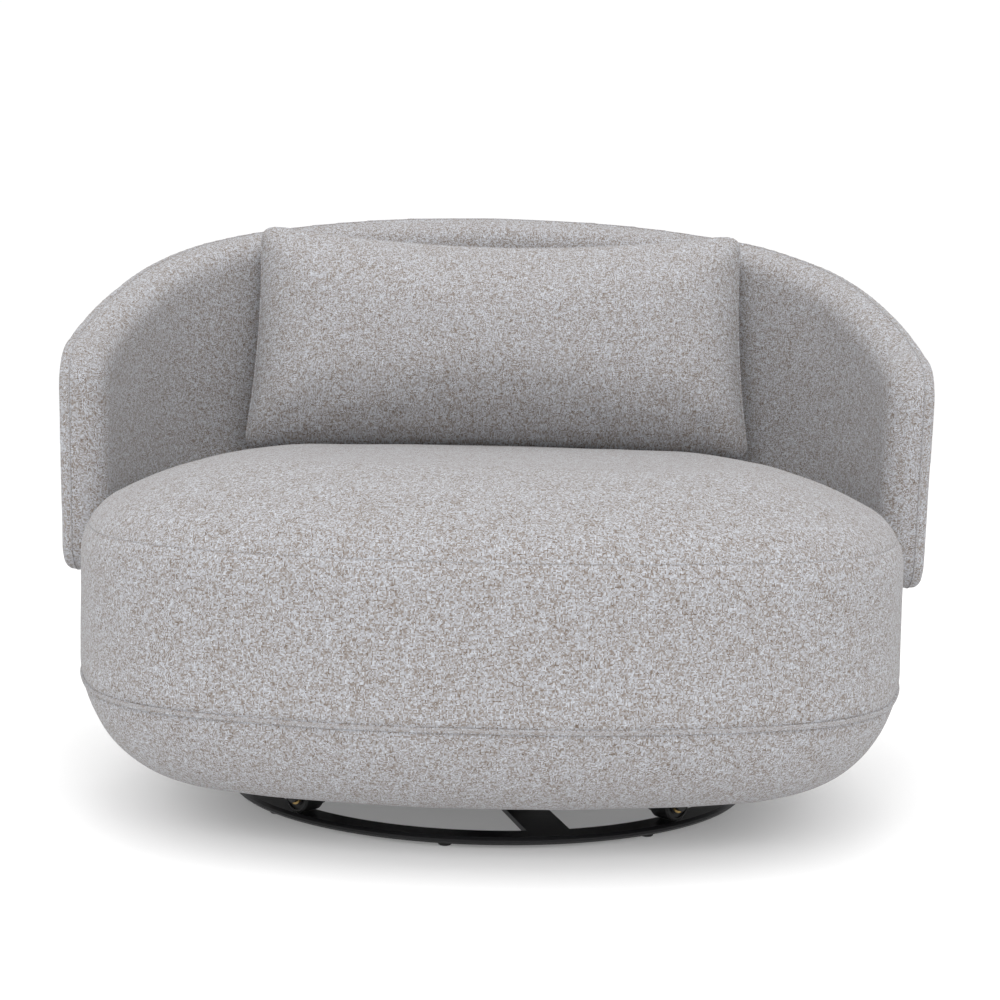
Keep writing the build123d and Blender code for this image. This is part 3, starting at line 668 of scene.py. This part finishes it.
def beside_seat(place):
    """Distance outside the seat's outline, less what the flare adds, and distance along the outline."""
    run = 0
    for centre, radius, start, turn in arcs[:5]:
        away = place - centre
        angle = degrees(atan2(away.y, away.x))
        if angle < -90:
            angle += 360
        before_first = start == 0 and angle < 0
        past_last = start + turn == 180 and angle > 180
        if start <= angle <= start + turn or before_first or past_last:
            flare = (place.z - shoulder_height) * tan(back_flare)
            return hypot(away.x, away.y) - radius - flare, run + radius * radians(angle - start)
        run += radius * radians(turn)
    return 0, 0


def surface_of(obj):
    """Tree in which points of a form's surface are looked up."""
    places = [vertex.co.copy() for vertex in obj.data.vertices]
    faces = [tuple(face.vertices) for face in obj.data.polygons]
    return BVHTree.FromPolygons(places, faces)


back = packed_form(
    "back",
    ("back_cover_inner", "back_cover_outer", "back_foam_inner", "back_foam_outer", "back_shell"),
    back_voxel,
    back_smoothing,
)
back_spots = [beside_seat(vertex.co) for vertex in back.data.vertices]
waves = [vertex.normal * unevenness(vertex.co, back_seed) for vertex in back.data.vertices]
for vertex, wave in zip(back.data.vertices, waves):
    vertex.co += wave


def lay_on_back(index, facing):
    """Where a vertex of the back lies on the weave: on the rim, on a wing's front end or on a face."""
    off, run = back_spots[index]
    place = back.data.vertices[index].co
    behind = place.y - wing_front
    if behind < wing_top_radius and abs(facing.x) < facing_share:
        return place.x, place.z + (behind if facing.z > 0 else -behind)
    if abs(facing.z) > facing_share:
        return run, off
    return run, place.z


weave_by_face(back, lay_on_back)
dress(back, "seat")
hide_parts("back_cover_inner", "back_cover_outer", "back_foam_inner", "back_foam_outer")

# Welt of the seam that runs round the back, a little inside its outer edge
rim_run = seat_front - back_edge - wing_front
rim_rise = back_high.z - back_edge - wing_height
rim_slope = atan2(rim_rise, rim_run) + asin(back_edge / hypot(rim_run, rim_rise))
wing_top_y = wing_front + wing_top_radius
wing_top_z = wing_height + wing_top_radius * tan(rim_slope) - wing_top_radius / cos(rim_slope)


def out_to_seam(y, z):
    """Point of the seam's wall at a depth and height, on the right."""
    near, far = seam_nearest, seam_furthest
    for _ in range(30):
        x = (near + far) / 2
        if beside_seat(Vector((x, y, z)))[0] < seam_distance:
            near = x
        else:
            far = x
    return Vector((near, y, z))


def wing_seam():
    """The seam up the front of the right wing, from its lower corner to its upper one."""
    path = []
    low = back_bottom + wing_bottom_radius
    for step in range(wing_bottom_steps + 1):
        angle = pi / 2 * step / wing_bottom_steps
        behind = wing_bottom_radius * (1 - sin(angle))
        path.append((wing_front + behind, back_bottom + wing_bottom_radius * (1 - cos(angle))))
    for step in range(1, wing_front_steps):
        path.append((wing_front, low + (wing_top_z - low) * step / wing_front_steps))
    for step in range(wing_top_steps + 1):
        angle = (pi / 2 - rim_slope) * step / wing_top_steps
        path.append((wing_top_y - wing_top_radius * cos(angle), wing_top_z + wing_top_radius * sin(angle)))
    return [out_to_seam(y, z) for y, z in path]


def edge_seam(height_at, front):
    """The seam along an edge of the back from right to left, behind the wings' rounded corners."""
    path = []
    for spot, out, _ in plan_spots(edge_stations, arcs[:5]):
        place = spot + out * seam_distance
        for _ in range(3):
            height = height_at(place.y)
            place = spot + out * (seam_distance + (height - shoulder_height) * tan(back_flare))
        place.z = height
        if place.y > front:
            path.append(place)
    return path


right_seam = wing_seam()
left_seam = [Vector((-place.x, place.y, place.z)) for place in reversed(right_seam)]
upper_seam = edge_seam(
    lambda y: wing_height + (y - wing_front) * tan(rim_slope), wing_top_y - wing_top_radius * sin(rim_slope)
)
under_seam = edge_seam(lambda y: back_bottom, wing_front + wing_bottom_radius)
back_surface = surface_of(back)
welt_points = []
welt_sides = []
for place in right_seam + upper_seam + left_seam + under_seam[::-1]:
    nearest, facing, _, _ = back_surface.find_nearest(place)
    welt_points.append(nearest - facing * welt_sunk)
    welt_sides.append(facing)
tube("back_welt", welt_points, welt_sides, welt_radius, "seat", facets=8)

# Cushion: its packed form swollen as stuffed cloth, with a welt along its sewn edge
cushion = packed_form("lumbar_cushion", ("cushion_fill", "cushion_cover"), cushion_voxel, cushion_smoothing)


def inflate(obj):
    """Swells a closed form under pressure, each point moving no further than its cap."""
    before = [vertex.co.copy() for vertex in obj.data.vertices]
    settings = obj.modifiers.new("stuffing", "CLOTH").settings
    settings.use_pressure = True
    settings.uniform_pressure_force = cushion_pressure
    settings.effector_weights.gravity = 0
    settings.quality = 5
    scene = bpy.context.scene
    for step in range(1, cushion_frames + 1):
        scene.frame_set(step)
    graph = bpy.context.evaluated_depsgraph_get()
    after = [vertex.co.copy() for vertex in obj.evaluated_get(graph).data.vertices]
    obj.modifiers.clear()
    scene.frame_set(1)
    for vertex, start, end in zip(obj.data.vertices, before, after):
        from_middle = start - cushion_middle
        ahead = smooth_step(from_middle.dot(cushion_out), cushion_rear, cushion_front)
        above = smooth_step(from_middle.dot(cushion_up) + cushion_half, 0, cushion_slope)
        cap = cushion_rear_cap + (cushion_cap - cushion_rear_cap) * (ahead * above)
        move = end - start
        thicker = cushion_out * move.dot(cushion_out)
        move = thicker + (move - thicker) * cushion_draw
        if move.length > cap:
            move *= cap / move.length
        vertex.co = start + move


def cushion_aim(step):
    """One of the directions in the cushion's plane."""
    angle = 2 * pi * step / cushion_directions
    return right * cos(angle) + cushion_up * sin(angle)


def reach_round(surface):
    """How far a form reaches from the cushion's middle, by direction in the cushion's plane."""
    reach = []
    for step in range(cushion_directions):
        aim = cushion_aim(step)
        struck = surface.ray_cast(cushion_middle + aim * cushion_clear, -aim)[0]
        reach.append((struck - cushion_middle).length)
    return reach


def reach_at(reach, angle):
    """Reach in a direction between two that were measured."""
    turn = angle / (2 * pi) * cushion_directions
    first = int(turn // 1)
    before = reach[first % cushion_directions]
    after = reach[(first + 1) % cushion_directions]
    return before + (after - before) * (turn - first)


def spread_to(obj, wanted):
    """Spreads a form in the cushion's plane until its rim reaches a wanted outline."""
    found = reach_round(surface_of(obj))
    for vertex in obj.data.vertices:
        place = vertex.co - cushion_middle
        across, up = place.x, place.dot(cushion_up)
        rim = reach_at(found, atan2(up, across))
        growth = reach_at(wanted, atan2(up, across)) / rim - 1
        outward = right * across + cushion_up * up
        vertex.co += outward * growth * smooth_step(outward.length / rim, spread_start, 1)


def keep_off_seat(obj):
    """Lifts what would come nearer to the seat than the gap left for the welt."""
    seat_surface = surface_of(seat_top)
    for vertex in obj.data.vertices:
        if vertex.co.z < seat_height + cushion_near_seat:
            start = Vector((vertex.co.x, vertex.co.y, seat_height + seat_clear))
            struck = seat_surface.ray_cast(start, down)[0]
            if struck:
                vertex.co.z = max(vertex.co.z, struck.z + cushion_gap)


inflate(cushion)
cord_reach = [reach - cord_radius for reach in reach_round(surface_of(nodes["cushion_cord"]))]
spread_to(cushion, cord_reach)
keep_off_seat(cushion)
cushion.modifiers.new("finer", "SUBSURF").levels = 1
cushion = settled(cushion)


def lay_on_cushion(index, facing):
    """Where a vertex of the cushion lies on the weave, whichever way its face looks."""
    place = cushion.data.vertices[index].co - cushion_middle
    return place.x, place.dot(cushion_up)


weave_by_face(cushion, lay_on_cushion)
dress(cushion, "cushion")
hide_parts("cushion_cover", "cushion_fill")

cord_points = [cushion_middle + cushion_aim(step) * reach for step, reach in enumerate(cord_reach)]
for _ in range(cord_smoothing):
    cord_points = [
        (cord_points[index - 1] + place * 2 + cord_points[(index + 1) % len(cord_points)]) / 4
        for index, place in enumerate(cord_points)
    ]
cord = tube("cushion_welt", cord_points, [cushion_out] * len(cord_points), cord_radius, "cushion", facets=8)
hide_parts("cushion_cord")

# Floor, light, camera
floor_corners = [(-9, -6, 0), (9, -6, 0), (9, 12, 0), (-9, 12, 0)]
floor_mesh = bpy.data.meshes.new("floor")
floor_mesh.from_pydata(floor_corners, [], [(0, 1, 2, 3)])
floor = bpy.data.objects.new("floor", floor_mesh)
bpy.context.scene.collection.objects.link(floor)
floor_material, _, floor_shader = node_material("floor")
floor_shader.inputs["Base Color"].default_value = (0.80, 0.80, 0.80, 1)
floor_shader.inputs["Roughness"].default_value = 0.8
floor_shader.inputs["Specular IOR Level"].default_value = 0.2
floor_shader.inputs["Emission Color"].default_value = (1, 1, 1, 1)
floor_shader.inputs["Emission Strength"].default_value = 0.19
floor_mesh.materials.append(floor_material)

world = bpy.data.worlds.new("studio")
world.use_nodes = True
background = world.node_tree.nodes["Background"]
background.inputs["Color"].default_value = (1, 1, 1, 1)
background.inputs["Strength"].default_value = 1.02
bpy.context.scene.world = world
bpy.context.scene.view_settings.view_transform = "Standard"


def softbox(name, place, target, size, power):
    """Square soft light aimed at a point."""
    data = bpy.data.lights.new(name, "AREA")
    data.shape = "SQUARE"
    data.size = size
    data.energy = power
    lamp = bpy.data.objects.new(name, data)
    lamp.location = place
    lamp.rotation_euler = (Vector(target) - Vector(place)).to_track_quat("-Z", "Y").to_euler()
    bpy.context.scene.collection.objects.link(lamp)


softbox("overhead", (0, -0.9, 3.4), (0, 0, 0.3), 3.0, 40)
for side, x in (("left", -2.2), ("right", 2.2)):
    softbox("front_" + side, (x, -6.0, 4.2), (0, 0.1, 0.5), 3.0, 115)

camera_data = bpy.data.cameras.new("camera")
camera_data.lens = camera_lens
camera_data.sensor_width = 36
camera = bpy.data.objects.new("camera", camera_data)
camera.matrix_world = (
    Matrix.Translation(camera_place)
    @ Matrix.Rotation(pi / 2 - camera_pitch, 4, "X")
    @ Matrix.Rotation(camera_roll, 4, "Z")
)
bpy.context.scene.collection.objects.link(camera)
bpy.context.scene.camera = camera
